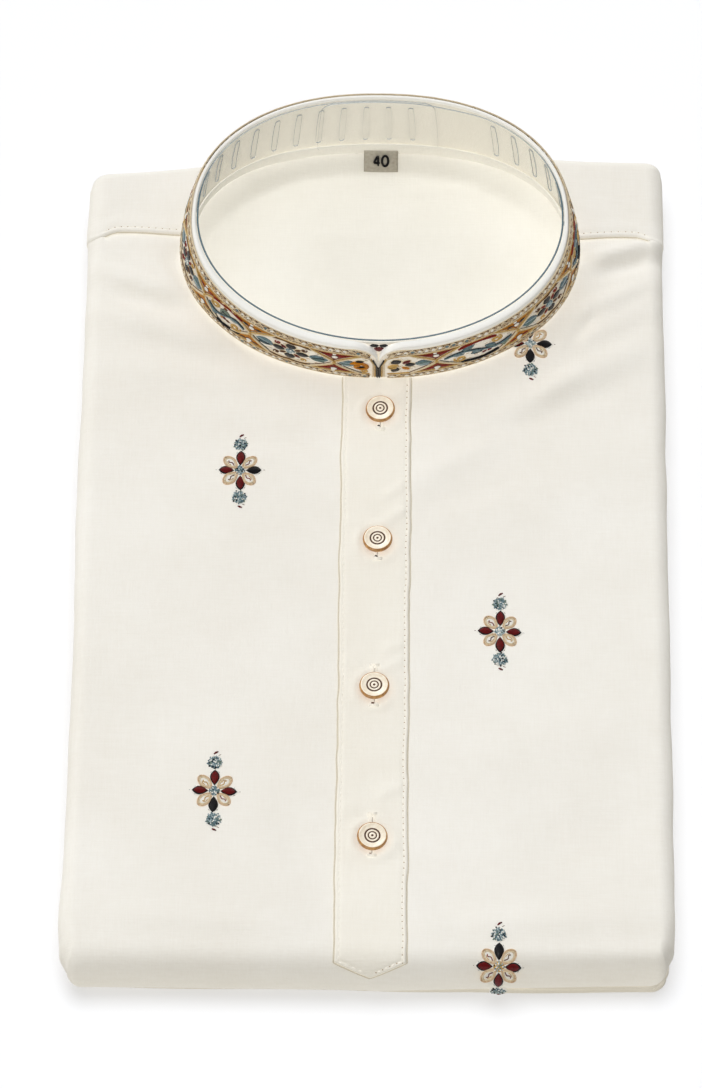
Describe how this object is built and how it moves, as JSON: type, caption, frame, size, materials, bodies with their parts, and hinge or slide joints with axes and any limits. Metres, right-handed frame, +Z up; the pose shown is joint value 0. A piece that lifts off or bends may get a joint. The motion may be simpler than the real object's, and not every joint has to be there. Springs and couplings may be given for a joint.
{
  "type": "folded kurta with clear collar support",
  "caption": "Cotton kurta folded flat, with a standing embroidered band collar, a buttoned placket and scattered embroidered flowers, resting on its underside.",
  "frame": {"origin": "on the surface the garment rests on, under the middle of its box", "axes": "+Z up, +Y from the folded hem end towards the collar, +X to the right as seen from the hem end"},
  "size_m": [0.226, 0.3671, 0.0615],
  "materials": {
    "cloth": "plain woven cotton, ivory",
    "collar_embroidery": "dense thread and cord embroidery in gold, rust, slate blue and black",
    "lining": "smooth fused cotton, white",
    "clear_strip": "clear, glossy",
    "label": "woven satin, warm grey",
    "button": "turned, ivory face with brown rings, semi-gloss",
    "flower": "raised satin stitch in garnet, black, peach and slate blue"
  },
  "bodies": {
    "root": {"folded_layers": "cloth", "front_panel": "cloth", "yoke": "cloth", "back_inside": "cloth", "placket": "cloth", "collar_outer": "collar_embroidery", "collar_lining": "lining", "collar_underlap": "cloth", "collar_support": "clear_strip", "neck_binding": "cloth", "size_label": "label", "button_1": "button", "button_2": "button", "button_3": "button", "button_4": "button", "flower_1": "flower", "flower_2": "flower", "flower_3": "flower", "flower_4": "flower", "flower_5": "flower"}
  },
  "joints": []
}
